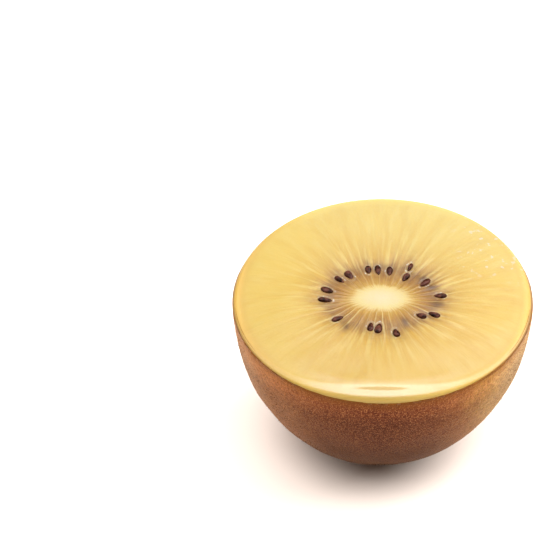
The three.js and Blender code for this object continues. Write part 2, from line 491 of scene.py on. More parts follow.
def face_rows(angle, edge, fall):
    """Half widths and points of the rows of the cut face, out to the edge where the shoulder starts."""
    rows = np.concatenate([
        np.arange(CORE_STEP, RING_FROM, CORE_STEP),
        np.arange(RING_FROM, RING_TO, RING_STEP),
        np.arange(RING_TO, FACE_EDGE - FLESH_STEP / 2, FLESH_STEP),
    ])
    stretch = (edge - RING_TO) / (FACE_EDGE - RING_TO)
    half_x = rows[:, None] + np.maximum(0, rows - RING_TO)[:, None] * (stretch - 1)
    grid_angle = np.broadcast_to(angle, half_x.shape)
    face = np.stack(face_point(half_x, grid_angle), -1)
    face[..., 2] -= fall * np.maximum(0, (half_x - FALL_FROM) / (edge - FALL_FROM)) ** FALL_CURVE

    # Streaks that run out from the core, and a slow swell, both dying out towards the shoulder
    along = half_x / FACE_EDGE * STREAK_ALONG
    streak = np.stack([np.cos(grid_angle), np.sin(grid_angle), along], -1)
    calm = smoothstep(edge - half_x, 0, CALM_BY_SHOULDER)
    beyond_core = smoothstep(half_x, *STREAKS_START)
    face[..., 2] += calm * beyond_core * waves(streak, *STREAK_WAVES) * STREAK_HEIGHT
    face[..., 2] += calm * waves(face, *SWELL_WAVES) * SWELL_HEIGHT
    return half_x, face


def side_rows(width, fall):
    """Radius and height of the rows over the shoulder and down the side that lies against the skin."""
    inward, upward = shoulder_profile()
    bottom = EDGE_Z - CUT_DROP
    rise = FACE_Z - fall - bottom
    inner_radius, inner_height = (
        np.repeat(values[::-1][1:, None], FACE_COLUMNS, 1) for values in dome_rows(SKIN, INSIDE_STEPS)
    )
    radius = np.concatenate([FLESH_FOOT - inward[:, None] * width, inner_radius])
    height = np.concatenate([bottom + upward[:, None] * rise, np.maximum(inner_height, FLESH_FLOOR)])
    return radius, height


def give_flesh_values(mesh, angle, half_x, steps, marks):
    """What the flesh's material reads: how far out each point is, measured on over the shoulder and
    down the side, how far it is from the skin, where it is wet, and the marks of the seeds. Steps are
    the distances from each row of the shoulder and the side to the row before it."""
    edge = FLESH_FOOT - shoulder_width(angle)
    out = np.concatenate([half_x, edge + np.cumsum(steps, 0)])
    shoulder_rows = 2 * SHOULDER_STEPS
    over = np.cumsum(steps[:shoulder_rows][::-1], 0)[::-1]
    from_skin = np.concatenate([edge - half_x + over[0], over, np.zeros_like(steps[shoulder_rows:])])
    for name, mark in marks.items():
        give_values(mesh, name, np.append(np.concatenate([mark, np.zeros_like(steps)]).ravel(), [0, 0]))
    give_values(mesh, "out", np.append(out.ravel(), [0, out.max()]) / MM)
    shows_over = SKIN_SHOWS_OVER * (1 + np.sin(angle)) / 2
    give_values(mesh, "from_skin", np.append((from_skin - shows_over).ravel(), [FACE_EDGE, 0]) / MM)
    wet = at_front(angle, WET_FRONT) * smoothstep(from_skin, *WET_FROM_SKIN)
    wet *= 1 - smoothstep(from_skin, *DRY_FROM_SKIN)
    give_values(mesh, "wet", np.append(wet.ravel(), [0, 0]))
    around = np.stack([
        np.broadcast_to(np.cos(angle), out.shape),
        np.broadcast_to(np.sin(angle), out.shape),
        out / FACE_EDGE,
    ], -1)
    give_vectors(mesh, "around", np.concatenate([around.reshape(-1, 3), [[0, 0, 0], [0, 0, 1]]]))


def make_flesh(seeds):
    """The flesh with its cut face, its shoulder and the side that lies against the skin, all closed."""
    angle = turns(FACE_COLUMNS, RAY_FIRST)
    width = shoulder_width(angle)
    edge = FLESH_FOOT - width
    fall = face_fall(angle)
    half_x, face = face_rows(angle, edge, fall)
    marks = mark_seeds(face, seeds)
    radius, height = side_rows(width, fall)
    rows = np.concatenate([face, lathe_rows(radius, height, angle)])
    core_top = (CORE_X, CORE_Y, FACE_Z + CORE_CROWN)
    mesh = close_rows("flesh", rows, core_top, (-LEAN, 0, FLESH_FLOOR))
    across = np.diff(radius, axis=0, prepend=edge[None])
    down = np.diff(height, axis=0, prepend=(FACE_Z - fall)[None])
    give_flesh_values(mesh, angle, half_x, np.hypot(across, down), marks)
    return link_mesh(mesh, "flesh")


def make_skin():
    """The skin as a closed cup: its inside, the cut edge, and its outside with the dimple."""
    angle = turns(SKIN_COLUMNS)
    radius, height = dome_rows(0, SKIN_STEPS)
    dimple_radius = np.array(DIMPLE_RINGS) * MM
    dimple_height = DIMPLE_DEPTH * (1 - smoothstep(dimple_radius, SCAR_RADIUS, DIMPLE_RADIUS))
    outer = lathe_rows(np.append(dimple_radius, radius), np.append(dimple_height, height), angle)

    # Slow lumps and fine grain, none of either where the fruit stands
    outward = outer - np.array([-LEAN / 2, 0, EDGE_Z])
    outward /= np.linalg.norm(outward, axis=-1, keepdims=True)
    lumps = waves(outer, *LUMP_WAVES) * LUMP_HEIGHT
    lumps *= smoothstep(EDGE_Z - outer[..., 2], 0, LUMPS_BELOW_EDGE)
    grain = waves(outer, *GRAIN_WAVES) * GRAIN_HEIGHT
    off_floor = smoothstep(outer[..., 2], *RELIEF_OFF_FLOOR)
    outer += outward * ((lumps + grain) * off_floor)[..., None]

    # The cut edge waves a little
    edge_wave = waves(outer[-1], *EDGE_WAVES) * EDGE_WAVE_HEIGHT - CUT_DROP
    edge = lathe_rows(np.array([FLESH_FOOT - EDGE_TUCK]), np.array([EDGE_Z + EDGE_RISE]), angle)
    outer[-1, :, 2] += edge_wave
    edge[0, :, 2] += edge_wave
    floor = DIMPLE_DEPTH + SKIN / 2
    inner_radius, inner_height = dome_rows(SKIN_INSIDE, INSIDE_STEPS)
    inner = lathe_rows(inner_radius, np.maximum(inner_height, floor), angle)
    rows = np.concatenate([inner, edge, outer[::-1]])
    return link_mesh(close_rows("skin", rows, (-LEAN, 0, floor), (-LEAN, 0, DIMPLE_DEPTH)), "skin")


def make_stem_scar():
    """The dry scar of the stalk: a low stub in the dimple, cracked and pitted on its end."""
    radius, height = np.array(SCAR_PROFILE).T * MM
    rows = lathe_rows(radius, height, turns(SCAR_COLUMNS))
    rows[2:, :, 2] += waves(rows[2:], *PITTED_WAVES) * PITTED_DEPTH
    ragged = 1 + RAGGED_SHARE * waves(rows, *RAGGED_WAVES)
    rows[..., 0] = (rows[..., 0] + LEAN) * ragged - LEAN
    rows[..., 1] *= ragged
    hidden_end = (-LEAN, 0, height[0])
    shown_end = (-LEAN, 0, SCAR_MIDDLE)
    return link_mesh(close_rows("stem_scar", rows, hidden_end, shown_end), "stem_scar")


# Nodes


def add(tree, kind, inputs=None, **settings):
    """A node with its settings, and with each named input set to a value or linked to a socket."""
    made = tree.nodes.new(kind)
    for name, value in settings.items():
        setattr(made, name, value)
    for key, value in (inputs or {}).items():
        if isinstance(value, bpy.types.NodeSocket):
            tree.links.new(value, made.inputs[key])
        else:
            made.inputs[key].default_value = value
    return made


def start_geometry_tree(name, inputs):
    """A geometry tree with a geometry in, a geometry out, and the named inputs."""
    tree = bpy.data.node_groups.new(name, "GeometryNodeTree")
    tree.interface.new_socket("Geometry", in_out="INPUT", socket_type="NodeSocketGeometry")
    for label, kind in inputs.items():
        tree.interface.new_socket(label, in_out="INPUT", socket_type=kind)
    tree.interface.new_socket("Geometry", in_out="OUTPUT", socket_type="NodeSocketGeometry")
    return tree, tree.nodes.new("NodeGroupInput").outputs


def end_geometry_tree(tree, instances, material):
    """Makes the instances real, gives them their material and puts them out."""
    real = add(tree, "GeometryNodeRealizeInstances", {"Geometry": instances})
    set_material = add(tree, "GeometryNodeSetMaterial", {"Geometry": real.outputs[0], "Material": material})
    add(tree, "NodeGroupOutput", {"Geometry": set_material.outputs[0]})


def run_tree(carrier, tree, values, name):
    """What the tree makes of the carrier's mesh, as a plain mesh of its own."""
    modifier = carrier.modifiers.new(tree.name, "NODES")
    modifier.node_group = tree
    for item in tree.interface.items_tree:
        if item.in_out == "INPUT" and item.name in values:
            modifier[item.identifier] = values[item.name]
    shown = carrier.evaluated_get(bpy.context.evaluated_depsgraph_get())
    mesh = bpy.data.meshes.new_from_object(shown)
    mesh.name = name
    carrier.modifiers.remove(modifier)
    return link_mesh(mesh, name)


def seed_form():
    """A seed of unit length, width and height: a drop with a blunt outer end and a pointed inner one."""
    along = np.cos(np.linspace(math.pi, 0, SEED_RINGS + 2)[1:-1])
    girth = np.sqrt(1 - along**2) * (1 + SEED_TAPER * along) * (1 - SEED_BLUNT * (1 - along) / 2)
    angle = turns(SEED_SIDES)
    ripple = 1 + SEED_RIPPLE * np.sin(SEED_RIPPLES * angle)
    y = girth[:, None] * np.cos(angle) * ripple / 2
    z = girth[:, None] * np.sin(angle) * ripple / 2
    x = np.repeat(along[:, None], len(angle), 1) / 2
    return close_rows("seed_form", np.stack([x, y, z], -1)[:, ::-1], (-0.5, 0, 0), (0.5, 0, 0))


def seed_tree(form, material):
    """Lays a seed at each point, turned and sized by the point's own values."""
    tree, given = start_geometry_tree("Lay seeds", {
        "Seed length": "NodeSocketFloat",
        "Seed width": "NodeSocketFloat",
        "Seed height": "NodeSocketFloat",
    })

    def value_of(name):
        return add(tree, "GeometryNodeInputNamedAttribute", {"Name": name}, data_type="FLOAT").outputs[0]

    scale = add(tree, "ShaderNodeCombineXYZ", {
        "X": maths(tree, "MULTIPLY", value_of("reach"), given["Seed length"]),
        "Y": maths(tree, "MULTIPLY", value_of("girth"), given["Seed width"]),
        "Z": given["Seed height"],
    })
    turned = add(tree, "ShaderNodeCombineXYZ", {
        "X": value_of("roll"),
        "Y": value_of("pitch"),
        "Z": value_of("aim"),
    })
    rotation = add(tree, "FunctionNodeEulerToRotation", {"Euler": turned.outputs[0]})
    shape = add(tree, "GeometryNodeObjectInfo", {"Object": form})
    laid = add(tree, "GeometryNodeInstanceOnPoints", {
        "Points": given["Geometry"],
        "Instance": shape.outputs["Geometry"],
        "Rotation": rotation.outputs[0],
        "Scale": scale.outputs[0],
    })
    end_geometry_tree(tree, laid.outputs[0], material)
    return tree


def make_seeds(seeds, material):
    """The seeds that show on the cut face."""
    shown = [seed for seed in seeds if not seed["sunk"]]
    points = bpy.data.meshes.new("seed_points")
    points.from_pydata([seed["at"] for seed in shown], [], [])
    random = np.random.default_rng(SEED_LOOKS_SEED)
    give_values(points, "aim", [seed["aim"] for seed in shown])
    give_values(points, "reach", [seed["size"] * random.uniform(*SEED_REACH) for seed in shown])
    give_values(points, "girth", [seed["size"] * random.uniform(*SEED_GIRTH) for seed in shown])
    give_values(points, "roll", random.uniform(-SEED_ROLL, SEED_ROLL, len(shown)))
    give_values(points, "pitch", random.uniform(-SEED_PITCH, SEED_PITCH, len(shown)))
    carrier = link_mesh(points, "seed_points")
    form = link_mesh(seed_form(), "seed_form")
    tree = seed_tree(form, material)
    sizes = {"Seed length": SEED_LENGTH, "Seed width": SEED_WIDTH, "Seed height": SEED_HEIGHT}
    made = run_tree(carrier, tree, sizes, "seeds")
    made.data.shade_smooth()
    bpy.data.objects.remove(carrier)
    bpy.data.objects.remove(form)
    return made


def fuzz_tree(material):
    """Grows short tapered hairs all over the outside of a surface, leaning every way."""
    tree, given = start_geometry_tree("Grow fuzz", {
        "Hair length": "NodeSocketFloat",
        "Hair width": "NodeSocketFloat",
        "Hairs per area": "NodeSocketFloat",
        "Lowest": "NodeSocketFloat",
        "Highest": "NodeSocketFloat",
        "Seed": "NodeSocketInt",
    })
    position = add(tree, "ShaderNodeSeparateXYZ", {0: add(tree, "GeometryNodeInputPosition").outputs[0]})
    above = add(tree, "FunctionNodeCompare", {0: position.outputs["Z"], 1: given["Lowest"]},
                data_type="FLOAT", operation="GREATER_THAN")
    below = add(tree, "FunctionNodeCompare", {0: position.outputs["Z"], 1: given["Highest"]},
                data_type="FLOAT", operation="LESS_THAN")
    limits = {0: above.outputs[0], 1: below.outputs[0]}
    between = add(tree, "FunctionNodeBooleanMath", limits, operation="AND")
    spread = add(tree, "GeometryNodeDistributePointsOnFaces", {
        "Mesh": given["Geometry"],
        "Selection": between.outputs[0],
        "Density": given["Hairs per area"],
        "Seed": given["Seed"],
    })
    hair = add(tree, "GeometryNodeMeshCone", {
        "Vertices": 3,
        "Radius Bottom": given["Hair width"],
        "Depth": given["Hair length"],
    }, fill_type="TRIANGLE_FAN")
    least_tilt = (-FUZZ_TILT, -FUZZ_TILT, 0)
    most_tilt = (FUZZ_TILT, FUZZ_TILT, FUZZ_SPIN)
    tilts = {0: least_tilt, 1: most_tilt, "Seed": 1}
    tilt = add(tree, "FunctionNodeRandomValue", tilts, data_type="FLOAT_VECTOR")
    tilt_rotation = add(tree, "FunctionNodeEulerToRotation", {"Euler": tilt.outputs[0]})
    rotation = add(tree, "FunctionNodeRotateRotation", {
        "Rotation": spread.outputs["Rotation"],
        "Rotate By": tilt_rotation.outputs[0],
    }, rotation_space="LOCAL")
    smallest, largest = FUZZ_SIZES
    scale = add(tree, "FunctionNodeRandomValue", {2: smallest, 3: largest, "Seed": 2}, data_type="FLOAT")
    grown = add(tree, "GeometryNodeInstanceOnPoints", {
        "Points": spread.outputs["Points"],
        "Instance": hair.outputs["Mesh"],
        "Rotation": rotation.outputs[0],
        "Scale": scale.outputs[1],
    })
    end_geometry_tree(tree, grown.outputs[0], material)
    return tree


def make_fuzz(material):
    """The short fuzz of the skin, grown on a bare copy of its outside."""
    radius, height = dome_rows(FUZZ_ROOTS, FUZZ_GROUND_STEPS)
    rows = lathe_rows(radius, height, turns(FUZZ_GROUND_COLUMNS))[::-1]
    edge_middle = (0, 0, EDGE_Z)
    carrier = link_mesh(close_rows("fuzz_ground", rows, edge_middle, (-LEAN, 0, 0)), "fuzz_ground")
    values = {
        "Hair length": FUZZ_LENGTH,
        "Hair width": FUZZ_WIDTH,
        "Hairs per area": FUZZ_PER_SQUARE_METRE,
        "Lowest": FUZZ_CLEAR_OF_FLOOR,
        "Highest": EDGE_Z - FUZZ_CLEAR_OF_CUT,
        "Seed": FUZZ_SEED,
    }
    made = run_tree(carrier, fuzz_tree(material), values, "fuzz")
    bpy.data.objects.remove(carrier)
    return made


# Materials


def shade(red, green, blue, level=LIGHT_LEVEL):
    """The colour of a surface that shows on a screen as this red, green and blue, each from 0 to 255,
    under light of this level."""
    def linear(value):
        share = value / 255
        return (share / 12.92 if share <= 0.04045 else ((share + 0.055) / 1.055) ** 2.4) / level
    return (linear(red), linear(green), linear(blue), 1.0)


def maths(tree, operation, *values):
    """The result of a Math node on these values."""
    return add(tree, "ShaderNodeMath", dict(enumerate(values)), operation=operation).outputs[0]


def product(tree, first, *others):
    """All these values multiplied."""
    for value in others:
        first = maths(tree, "MULTIPLY", first, value)
    return first


def spread_range(tree, value, low, high, to_low=0.0, to_high=1.0):
    """value from low to high, made a smooth step from to_low to to_high."""
    inputs = {0: value, 1: low, 2: high, 3: to_low, 4: to_high}
    return add(tree, "ShaderNodeMapRange", inputs, interpolation_type="SMOOTHSTEP").outputs[0]


def blend(tree, factor, first, second, mode="MIX"):
    """first changed to second by the factor."""
    inputs = {0: factor, 6: first, 7: second}
    return add(tree, "ShaderNodeMix", inputs, data_type="RGBA", blend_type=mode).outputs[2]


def lay(tree, colour, mask, strength, other):
    """The colour with another laid over it where the mask is, at this strength."""
    return blend(tree, product(tree, mask, strength), colour, other)


def ramp(tree, factor, stops, reach=1.0):
    """Colours by position up to the reach, with even changes between them."""
    made = add(tree, "ShaderNodeValToRGB", {0: factor})
    elements = made.color_ramp.elements
    while len(elements) < len(stops):
        elements.new(1)
    for element, (position, colour) in zip(elements, stops):
        element.position = position / reach
        element.color = colour
    return made.outputs[0]


def noise(tree, vector, scale, detail=2.0, roughness=0.5):
    """Soft noise from 0 to 1."""
    inputs = {"Vector": vector, "Scale": scale, "Detail": detail, "Roughness": roughness}
    return add(tree, "ShaderNodeTexNoise", inputs).outputs[0]


def start_material(name):
    """A material with its node tree and its shader."""
    material = bpy.data.materials.new(name)
    material.use_nodes = True
    tree = material.node_tree
    return material, tree, tree.nodes["Principled BSDF"]


def finish_material(tree, shader, colour, roughness, height=None, depth=0.0, **fixed):
    """Links what changes over the surface, and sets the rest on the shader's own sockets."""
    tree.links.new(colour, shader.inputs["Base Color"])
    if isinstance(roughness, bpy.types.NodeSocket):
        tree.links.new(roughness, shader.inputs["Roughness"])
    else:
        shader.inputs["Roughness"].default_value = roughness
    if height is not None:
        bump = add(tree, "ShaderNodeBump", {"Height": height, "Strength": 1.0, "Distance": depth})
        tree.links.new(bump.outputs[0], shader.inputs["Normal"])
    for name, value in fixed.items():
        shader.inputs[name.replace("_", " ")].default_value = value


def make_grain_group():
    """Fine grain that the skin, the fuzz, the scar, the seeds and the flesh share: soft noise over
    small cells, in object coordinates."""
    group = bpy.data.node_groups.new("Fine grain", "ShaderNodeTree")
    for label, value in (("Size", 1.0), ("Low", 0.3), ("High", 0.7), ("Cells", 0.5)):
        socket = group.interface.new_socket(label, in_out="INPUT", socket_type="NodeSocketFloat")
        socket.default_value = value
    group.interface.new_socket("Grain", in_out="OUTPUT", socket_type="NodeSocketFloat")
    group.interface.new_socket("Height", in_out="OUTPUT", socket_type="NodeSocketFloat")
    given = group.nodes.new("NodeGroupInput").outputs
    where = add(group, "ShaderNodeTexCoord").outputs["Object"]
    scale = maths(group, "DIVIDE", 1 / MM, given["Size"])
    soft = noise(group, where, scale, 3.0, 0.6)
    cells = add(group, "ShaderNodeTexVoronoi", {"Vector": where, "Scale": scale}, feature="SMOOTH_F1")
    domed = maths(group, "SUBTRACT", 1.0, cells.outputs["Distance"])
    mixed = {0: given["Cells"], 2: soft, 3: domed}
    height = add(group, "ShaderNodeMix", mixed, data_type="FLOAT").outputs[0]
    grain = add(group, "ShaderNodeMapRange", {0: height, 1: given["Low"], 2: given["High"]}).outputs[0]
    add(group, "NodeGroupOutput", {"Grain": grain, "Height": height})
    return group


def grain_of(tree, group, size, low, high, cells):
    """The fine grain in a material, with its own values: its size in millimetres, the heights that
    count as none and full, and how much of it is cells."""
    made = tree.nodes.new("ShaderNodeGroup")
    made.node_tree = group
    for label, value in (("Size", size), ("Low", low), ("High", high), ("Cells", cells)):
        made.inputs[label].default_value = value
    return made.outputs["Grain"], made.outputs["Height"]


def read_value(tree, name):
    """A number that each point of the mesh carries."""
    return add(tree, "ShaderNodeAttribute", attribute_name=name).outputs["Fac"]


# The flesh's colour by distance from the core's middle in millimetres, out over the shoulder to the
# skin, and then by distance from the skin, where it carries painted light on the shoulder
FLESH_STOPS = (
    (0.0, shade(254, 238, 190)),
    (2.7, shade(254, 235, 174)),
    (4.1, shade(254, 232, 158)),
    (5.0, shade(248, 217, 138)),
    (5.8, shade(222, 175, 72)),
    (7.0, shade(204, 149, 52)),
    (8.2, shade(190, 134, 50)),
    (9.8, shade(164, 116, 52)),
    (11.3, shade(215, 164, 80)),
    (13.2, shade(231, 188, 91)),
    (16.0, shade(243, 204, 100)),
    (21.0, shade(249, 211, 105)),
)
FLESH_REACH = 24.0
BY_SKIN_STOPS_AND_PAINTED_LIGHT = (
    (0.0, shade(186, 140, 50, SIDE_LEVEL)),
    # These are brighter than the flesh's own colour: painted light where the shoulder faces away from the
    # light and where its highlight fades
    (0.25, shade(246, 206, 92, 2.6)),
    (0.7, shade(255, 220, 120, 2.6)),
    (1.6, shade(255, 222, 116, 3.5)),
    (3.4, shade(248, 211, 108)),
)
BY_SKIN_REACH = 3.5

# The flesh's other colours
PALE_GOLD = shade(255, 228, 138)
RICH_GOLD = shade(236, 188, 78)
# Painted light towards the back, and painted shade towards the front
BACK_PAINTED_LIGHT = shade(255, 242, 172)
FRONT_PAINTED_SHADE = shade(228, 184, 72)
LEFT_GOLD = shade(255, 222, 108)
# Painted shade just inside the skin at the sides
BESIDE_PAINTED_SHADE = (0.86, 0.77, 0.71, 1)
PALE_RAY = shade(247, 218, 142)
BROWN_STROKE = shade(150, 104, 62)
SEED_HAZE = shade(120, 72, 30)
SEED_SHADOW = shade(96, 58, 34)
# Pale rim round a seed, partly membrane and partly painted highlight
PALE_RIM_AND_HIGHLIGHT = shade(252, 236, 196)
# A painted glint: painted highlight of wet flesh
PAINTED_GLINT = shade(255, 250, 236)

# Streaks in the flesh: how many round the core and along it, their detail, and the noise that counts
# as none and full
FIBRES = (26.0, 1.5, 2.0, 0.3, 0.7)
RICH_STREAKS = (9.0, 3.0, 3.0, 0.44, 0.66)
PALE_STREAKS = (15.0, 3.5, 3.0, 0.46, 0.7)
RAY_BREAKS = (4.0, 0.6, 1.0, 0.3, 0.6)
FINE_RAYS = (38.0, 2.4, 2.0, 0.54, 0.72)
STROKES = (32.0, 2.0, 2.0, 0.5, 0.7)

# Where these and the rays fade in or out, in millimetres from the core's middle
FIBRES_IN = (2.0, 5.0)
STREAKS_IN = (9.0, 12.0)
STREAKS_WEAKEN = (13.0, 20.0, 1.3, 0.8)
RAYS_IN = (4.8, 6.4)
RAYS_OUT = (15.0, 10.0)
FINE_RAYS_IN = (5.0, 7.0)
FINE_RAYS_OUT = (14.0, 9.0)
STROKES_IN = (6.4, 8.0)
STROKES_OUT = (12.5, 10.0)

# Where the flesh has painted light towards the back, painted shade towards the front, is lighter on the
# left, has painted shade beside the skin and painted glints, in metres across the fruit
PAINTED_LIGHT_BACK = (-2 * MM, 24 * MM)
PAINTED_SHADE_FRONT = (-2 * MM, -20 * MM)
LIGHTER_LEFT = (-8 * MM, -20 * MM)
PAINTED_SHADE_BESIDE = (12 * MM, 23 * MM)
PAINTED_GLINTS_RIGHT = (11 * MM, 17 * MM)
PAINTED_GLINTS_BACK = (2 * MM, 7 * MM)


class FleshPattern:
    """The parts of the flesh's pattern, each laid over the colour that it is given."""

    def __init__(self, tree):
        self.tree = tree
        self.around = add(tree, "ShaderNodeAttribute", attribute_name="around").outputs["Vector"]
        self.out = read_value(tree, "out")
        self.where = add(tree, "ShaderNodeTexCoord").outputs["Object"]
        self.spot = add(tree, "ShaderNodeSeparateXYZ", {0: self.where}).outputs
        self.by_skin = maths(tree, "DIVIDE", read_value(tree, "from_skin"), BY_SKIN_REACH)
        self.fibrous = product(tree, self.streaks(FIBRES), spread_range(tree, self.out, *FIBRES_IN))

    def streaks(self, kind):
        """Streaks that run out from the core, of a kind named above."""
        count, along, detail, low, high = kind
        stretch = {0: self.around, 1: (count, count, along)}
        stretched = add(self.tree, "ShaderNodeVectorMath", stretch, operation="MULTIPLY").outputs[0]
        return spread_range(self.tree, noise(self.tree, stretched, 1.0, detail), low, high)

    def zones(self):
        """The colour zones from the core to the skin, with edges that waver."""
        tree = self.tree
        waver = noise(tree, self.where, 500.0, 2.0)
        shifted = maths(tree, "ADD", self.out, maths(tree, "MULTIPLY_ADD", waver, 1.2, -0.6))
        shifted = maths(tree, "ADD", shifted, maths(tree, "MULTIPLY_ADD", self.fibrous, 0.9, -0.45))
        colour = ramp(tree, maths(tree, "DIVIDE", shifted, FLESH_REACH), FLESH_STOPS, FLESH_REACH)
        skin_side = ramp(tree, self.by_skin, BY_SKIN_STOPS_AND_PAINTED_LIGHT, BY_SKIN_REACH)
        return blend(tree, spread_range(tree, self.by_skin, 1.0, 0.6), colour, skin_side)

    def lay_streaks(self, colour):
        """Rich and pale streaks in the outer flesh."""
        tree = self.tree
        outer = product(
            tree, spread_range(tree, self.out, *STREAKS_IN), spread_range(tree, self.by_skin, 0.2, 1.0),
            spread_range(tree, self.out, *STREAKS_WEAKEN),
        )
        rich = product(tree, self.streaks(RICH_STREAKS), outer)
        colour = lay(tree, colour, rich, 0.65, RICH_GOLD)
        light = product(tree, self.streaks(PALE_STREAKS), outer)
        return lay(tree, colour, light, 0.6, PALE_GOLD)

    def lay_slants(self, colour):
        """Painted light towards the back, painted shade that makes it richer towards the front, lighter on
        the left, and painted shade just inside the skin on both sides."""
        tree = self.tree
        slant = maths(tree, "MULTIPLY_ADD", self.spot["X"], 0.15, self.spot["Y"])
        # Painted light towards the back, then painted shade towards the front
        colour = lay(tree, colour, spread_range(tree, slant, *PAINTED_LIGHT_BACK), 0.4, BACK_PAINTED_LIGHT)
        slant = maths(tree, "MULTIPLY_ADD", self.spot["X"], 0.1, self.spot["Y"])
        colour = lay(tree, colour, spread_range(tree, slant, *PAINTED_SHADE_FRONT), 0.5, FRONT_PAINTED_SHADE)
        colour = lay(tree, colour, spread_range(tree, self.spot["X"], *LIGHTER_LEFT), 0.4, LEFT_GOLD)
        # Painted shade just inside the skin on both sides
        painted_shade_beside = spread_range(tree, maths(tree, "ABSOLUTE", self.spot["X"]), *PAINTED_SHADE_BESIDE)
        painted_shade_beside = product(tree, painted_shade_beside, spread_range(tree, self.by_skin, 0.9, 0.2))
        return blend(tree, painted_shade_beside, colour, BESIDE_PAINTED_SHADE, "MULTIPLY")

    def lay_painted_back_glints(self, colour):
        """Small painted glints at the back right: painted highlights of wet flesh."""
        tree = self.tree
        # Painted glints, near white specks where the noise is high
        painted_glints = product(
            tree, spread_range(tree, self.spot["X"], *PAINTED_GLINTS_RIGHT),
            spread_range(tree, self.spot["Y"], *PAINTED_GLINTS_BACK),
            spread_range(tree, noise(tree, self.where, 900.0, 3.0), 0.6, 0.68),
        )
        return lay(tree, colour, painted_glints, 0.55, PAINTED_GLINT)

    def lay_rays(self, colour):
        """Thin pale rays between the chambers, with finer ones among them, paler at the front."""
        tree = self.tree
        parts = add(tree, "ShaderNodeSeparateXYZ", {0: self.around}).outputs
        angle = maths(tree, "ARCTAN2", parts["Y"], parts["X"])
        waver = noise(tree, self.where, 320.0, 1.0)
        phase = maths(tree, "MULTIPLY_ADD", waver, 3.0, -1.5 - CHAMBERS * RAY_FIRST)
        crest = maths(tree, "COSINE", maths(tree, "MULTIPLY_ADD", angle, float(CHAMBERS), phase))
        ray = product(
            tree, spread_range(tree, crest, 0.72, 1.0), spread_range(tree, self.out, *RAYS_IN),
            spread_range(tree, self.out, *RAYS_OUT), self.streaks(RAY_BREAKS),
        )
        fine = product(
            tree, self.streaks(FINE_RAYS), spread_range(tree, self.out, *FINE_RAYS_IN),
            spread_range(tree, self.out, *FINE_RAYS_OUT), 0.45,
        )
        pale = maths(tree, "MAXIMUM", ray, fine)
        return lay(tree, colour, pale, spread_range(tree, parts["Y"], 0.6, -0.4, 0.4, 0.85), PALE_RAY)

    def lay_seed_marks(self, colour):
        """Brown strokes among the seeds, the haze and the pale rims round them, partly painted highlight,
        with a few painted glints, and the shadows of those under the surface."""
        tree = self.tree
        stroke = product(
            tree, self.streaks(STROKES), spread_range(tree, self.out, *STROKES_IN),
            spread_range(tree, self.out, *STROKES_OUT),
        )
        colour = lay(tree, colour, stroke, 0.6, BROWN_STROKE)
        cloud = spread_range(tree, noise(tree, self.where, 900.0), 0.2, 0.8)
        colour = lay(tree, colour, product(tree, read_value(tree, "haze"), cloud), 0.75, SEED_HAZE)
        colour = lay(tree, colour, read_value(tree, "ghost"), 0.7, SEED_SHADOW)
        rim = read_value(tree, "rim")
        # Pale rims, partly painted highlight, with painted glints on them
        colour = lay(tree, colour, rim, 0.25, PALE_RIM_AND_HIGHLIGHT)
        painted_glint = spread_range(tree, noise(tree, self.where, 1300.0, 1.0), 0.57, 0.65)
        return lay(tree, colour, product(tree, rim, painted_glint), 0.85, PAINTED_GLINT)


def flesh_material(grain):
    """Wet golden flesh: a cream core, amber chambers between pale rays, and streaked gold outside."""
    material, tree, shader = start_material("Golden flesh")
    pattern = FleshPattern(tree)
    colour = pattern.zones()
    colour = pattern.lay_streaks(colour)
    colour = pattern.lay_slants(colour)
    colour = pattern.lay_painted_back_glints(colour)
    colour = pattern.lay_rays(colour)
    colour = pattern.lay_seed_marks(colour)
    speckle, height = grain_of(tree, grain, 0.5, 0.3, 0.7, 0.3)
    roughness = maths(tree, "MULTIPLY_ADD", speckle, 0.15, 0.4)
    relief = maths(tree, "ADD", height, product(tree, pattern.fibrous, 0.6))
    wet = spread_range(tree, read_value(tree, "wet"), 0.2, 1.0, 0.05, 1.0)
    tree.links.new(wet, shader.inputs["Coat Weight"])
    finish_material(
        tree, shader, colour, roughness, relief, 0.03 * MM,
        IOR=1.4, Subsurface_Weight=0.35, Subsurface_Radius=(1.0, 0.6, 0.25), Subsurface_Scale=1.2 * MM,
        Coat_Roughness=0.08, Coat_IOR=1.52,
    )
    return material


# The skin's colour across the fruit from left to right, with painted light and shade: redder and darker
# at the front from painted shade, paler on the left and more golden on the right from painted light
SKIN_STOPS_AND_PAINTED_LIGHT = (
    (0.05, shade(216, 162, 110, SIDE_LEVEL)),
    (0.14, shade(202, 135, 82, SIDE_LEVEL)),
    (0.3, shade(139, 79, 45, SIDE_LEVEL)),
    (0.5, shade(118, 59, 32, SIDE_LEVEL)),
    (0.66, shade(143, 81, 45, SIDE_LEVEL)),
    (0.76, shade(184, 118, 68, SIDE_LEVEL)),
    (0.86, shade(229, 182, 100, SIDE_LEVEL)),
    (0.95, shade(226, 196, 134, SIDE_LEVEL)),
)
SKIN_MOTTLE = shade(84, 36, 20, SIDE_LEVEL)
SKIN_SPECK = shade(232, 158, 108, SIDE_LEVEL)
SKIN_OLIVE = shade(172, 104, 38, SIDE_LEVEL)
SKIN_CUT = shade(150, 92, 34, SIDE_LEVEL)
# Painted light on the skin's upper part
UPPER_PAINTED_LIGHT = (1.6, 1.5, 1.35, 1)
# Painted shade on the skin's low front
LOW_FRONT_PAINTED_SHADE = (0.55, 0.55, 0.52, 1)

# Heights between which the skin grows brighter from painted light, olive and cut brown, and where painted
# shade dims its low front
UPPER_SKIN = (EDGE_Z - 8 * MM, EDGE_Z - 1 * MM)
OLIVE_SKIN = (EDGE_Z - 3.0 * MM, EDGE_Z - 1.0 * MM)
CUT_BROWN = (EDGE_Z - 1.0 * MM, EDGE_Z - 0.55 * MM)
LOW_SKIN = (24 * MM, 12 * MM)
FRONT_SKIN = (17 * MM, 7 * MM)


